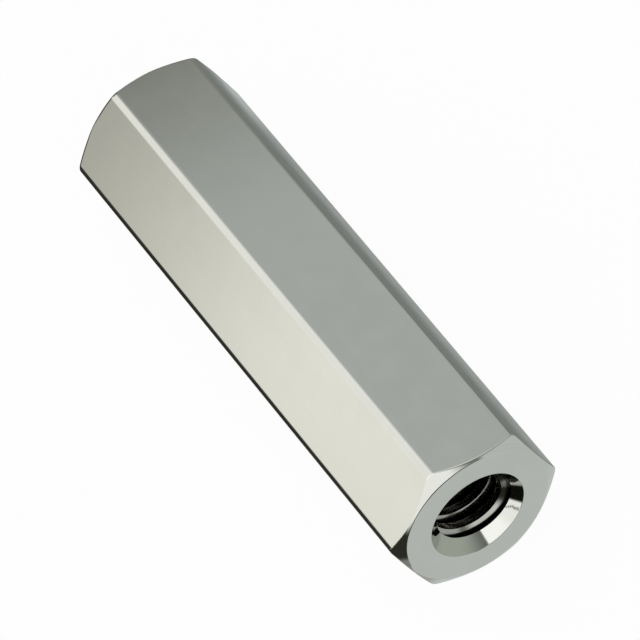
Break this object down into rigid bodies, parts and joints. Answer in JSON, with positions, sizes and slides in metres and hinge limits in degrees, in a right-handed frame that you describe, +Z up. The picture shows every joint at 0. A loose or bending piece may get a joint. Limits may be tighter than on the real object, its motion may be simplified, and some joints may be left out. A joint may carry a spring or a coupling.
{
  "type": "hex standoff",
  "caption": "Female-to-female hexagonal standoff spacer, threaded through, with chamfered ends and countersunk mouths.",
  "frame": {"origin": "centre of the footprint, on the surface that the standoff lies on", "axes": "+X along the threaded hole, towards the end nearest the viewer in the picture; +Z up, square to the flat it lies on; +Y completes the frame, across the two side corners"},
  "size_m": [0.0238, 0.0072, 0.0063],
  "materials": {
    "plated_metal": "bright nickel plate over brass"
  },
  "bodies": {
    "root": {"standoff": "plated_metal"}
  },
  "joints": []
}
